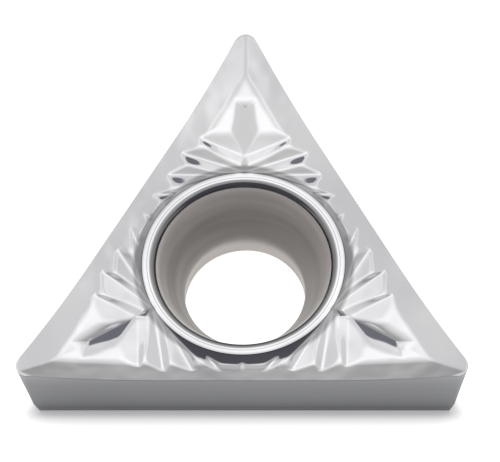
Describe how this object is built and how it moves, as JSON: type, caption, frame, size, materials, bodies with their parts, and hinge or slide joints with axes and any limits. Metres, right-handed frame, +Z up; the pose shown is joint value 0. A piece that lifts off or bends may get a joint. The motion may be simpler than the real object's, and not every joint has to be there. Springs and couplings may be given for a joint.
{
  "type": "carbide insert",
  "caption": "Triangular indexable turning insert of polished cemented carbide, with leaning flanks, dipped edges, palm-shaped chipbreaker corners and a countersunk screw hole.",
  "frame": {"origin": "on the screw hole's axis, at the flat seat face", "axes": "+Z up along the screw hole, from the seat face to the cutting edges; +Y to one corner; +X along the edge opposite that corner"},
  "size_m": [0.016, 0.0139, 0.004],
  "materials": {
    "polished_carbide": "uncoated cemented carbide: mirror-polished top, finely ground flanks, matte hole"
  },
  "bodies": {
    "root": {"insert_body": "polished_carbide"}
  },
  "joints": []
}
